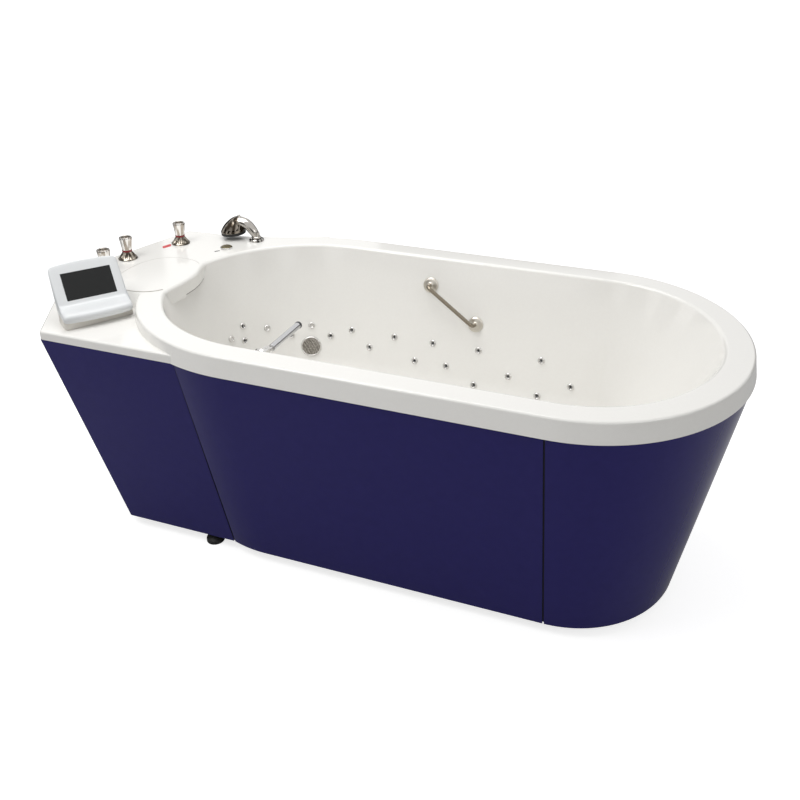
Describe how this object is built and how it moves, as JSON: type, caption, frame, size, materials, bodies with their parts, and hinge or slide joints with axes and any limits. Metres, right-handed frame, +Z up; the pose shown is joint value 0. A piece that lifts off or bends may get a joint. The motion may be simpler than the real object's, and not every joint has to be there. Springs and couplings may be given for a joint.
{
  "type": "hydrotherapy tub",
  "caption": "White oval hydrotherapy tub on slanting navy panels, with a control deck at the foot end, deck valves, hand shower, massage jets, grab bar and support arm.",
  "frame": {"origin": "on the floor under the middle of the tub's outer box", "axes": "+X points to the rounded head end, +Y to the back with the grab bar, +Z up"},
  "size_m": [2.172, 1.016, 0.9294],
  "materials": {
    "acrylic": "gloss",
    "panel_navy": "gloss",
    "frame_steel": "satin",
    "foot_black": "matt",
    "zinc": "satin",
    "chrome": "polished",
    "fitting_grey": "matt",
    "motor_dark": "satin",
    "volute_grey": "matt",
    "box_grey": "matt",
    "brass": "satin",
    "copper": "satin",
    "red": "gloss",
    "handle_clear": "polished",
    "grip_satin": "satin",
    "knob_dark": "satin",
    "bezel_chrome": "polished",
    "mark_black": "gloss",
    "block_grey": "matt",
    "housing_white": "satin",
    "screen_dark": "gloss"
  },
  "bodies": {
    "tub": {"tub_shell": "acrylic", "front_panel": "panel_navy", "head_panel": "panel_navy", "back_panel": "panel_navy", "console_front_panel": "panel_navy", "console_end_panel": "panel_navy", "console_back_panel": "panel_navy", "frame": "frame_steel", "machine_tray": "frame_steel", "levelling_feet": "foot_black", "foot_lock_nuts": "zinc", "basin_supports": "frame_steel", "back_jets": "chrome", "front_jets": "chrome", "jet_nuts": "fitting_grey", "back_manifold": "fitting_grey", "front_manifold": "fitting_grey", "suction_grille": "chrome", "suction_body": "fitting_grey", "suction_pipe": "fitting_grey", "pump_motor": "motor_dark", "pump_volute": "volute_grey", "pressure_pipe": "fitting_grey", "blower": "motor_dark", "air_pipe": "fitting_grey", "control_box": "box_grey", "waste_flange": "chrome", "waste_body": "zinc", "waste_outlet": "fitting_grey", "overflow_pipe": "fitting_grey", "knob_bezel": "bezel_chrome", "index_mark": "mark_black", "red_mark": "red", "valve_bodies": "brass", "rosettes": "chrome", "index_rings": "red", "supply_pipes": "copper", "deck_nuts": "zinc", "water_inlets": "brass", "power_gland": "foot_black", "shower_socket": "chrome", "grab_bar": "chrome", "arm_bracket": "chrome", "arm_pin": "chrome", "panel_block": "block_grey", "panel_housing": "housing_white", "panel_screen": "screen_dark"},
    "handle_1": {"handle_1": "handle_clear", "spindle_1": "chrome"},
    "handle_2": {"handle_2": "handle_clear", "spindle_2": "chrome"},
    "handle_3": {"handle_3": "handle_clear", "spindle_3": "chrome"},
    "waste_knob": {"waste_knob": "knob_dark"},
    "waste_plug": {"waste_plug": "chrome"},
    "hand_shower": {"hand_shower": "chrome", "spray_face": "foot_black"},
    "cover": {"overflow_cover": "acrylic"},
    "arm": {"support_arm": "chrome", "grip_sleeve": "grip_satin"}
  },
  "joints": [
    {"name": "valve_1_turn", "type": "hinge", "parent": "tub", "child": "handle_1", "pos_m": [-0.962, -0.082, 0.85], "axis": [0, 0, 1], "range_deg": [0, 180]},
    {"name": "valve_2_turn", "type": "hinge", "parent": "tub", "child": "handle_2", "pos_m": [-0.97, 0.046, 0.85], "axis": [0, 0, 1], "range_deg": [0, 180]},
    {"name": "valve_3_turn", "type": "hinge", "parent": "tub", "child": "handle_3", "pos_m": [-0.888, 0.24, 0.85], "axis": [0, 0, 1], "range_deg": [0, 180]},
    {"name": "waste_knob_turn", "type": "hinge", "parent": "tub", "child": "waste_knob", "pos_m": [-0.706, 0.249, 0.815], "axis": [0, 0, 1], "range_deg": [0, 90]},
    {"name": "waste_plug_lift", "type": "slide", "parent": "tub", "child": "waste_plug", "axis": [0, 0, 1], "range_m": [0, 0.01]},
    {"name": "hand_shower_lift", "type": "slide", "parent": "tub", "child": "hand_shower", "axis": [0, 0, 1], "range_m": [0, 0.15]},
    {"name": "cover_lift", "type": "slide", "parent": "tub", "child": "cover", "axis": [0, 0, 1], "range_m": [0, 0.07]},
    {"name": "arm_swing", "type": "hinge", "parent": "tub", "child": "arm", "pos_m": [-0.2, -0.37927, 0.784], "axis": [0, 0, 1], "range_deg": [-75, 75]}
  ],
  "couplings": [
    {"joint": "waste_plug_lift", "follows": "waste_knob_turn", "m_per_rad": 0.00636}
  ]
}
